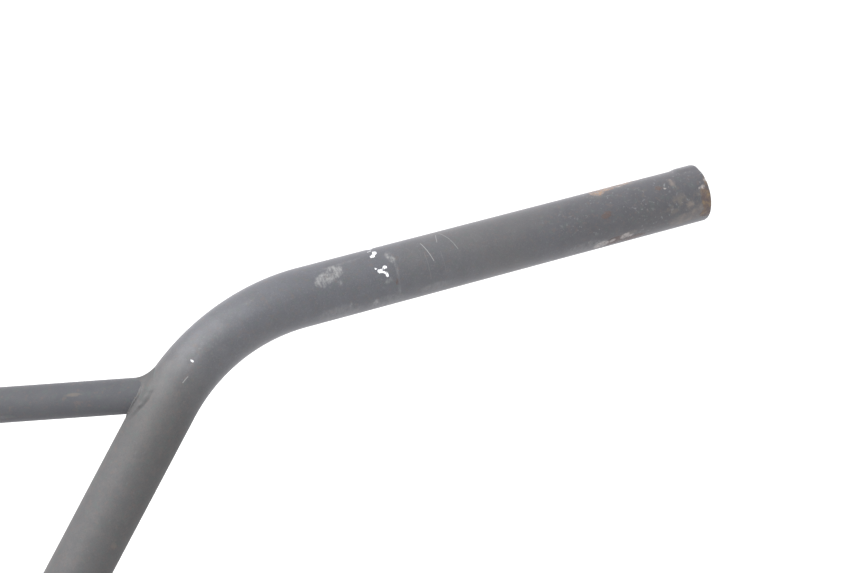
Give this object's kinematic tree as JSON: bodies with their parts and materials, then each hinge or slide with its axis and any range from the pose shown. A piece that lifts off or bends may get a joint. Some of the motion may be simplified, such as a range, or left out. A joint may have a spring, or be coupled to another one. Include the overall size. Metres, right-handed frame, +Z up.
{
  "type": "motorcycle handlebar",
  "caption": "Wide braced motorcycle handlebar in bent round steel tube, with raised swept-back ends and a thinner welded crossbar between the legs.",
  "frame": {"origin": "middle of the clamp section's underside, where the bar sits in its lower clamps", "axes": "+X across the motorcycle to the rider's left, +Y back to the rider, +Z up with the bar mounted"},
  "size_m": [0.8078, 0.1652, 0.1568],
  "materials": {
    "bar_paint": "satin dark grey paint, worn, with rust at the ends",
    "crossbar_paint": "satin dark grey paint",
    "weld_paint": "satin dark grey paint over weld bead"
  },
  "bodies": {
    "root": {"main_tube": "bar_paint", "crossbar_tube": "crossbar_paint", "crossbar_weld_left": "weld_paint", "crossbar_weld_right": "weld_paint"}
  },
  "joints": []
}
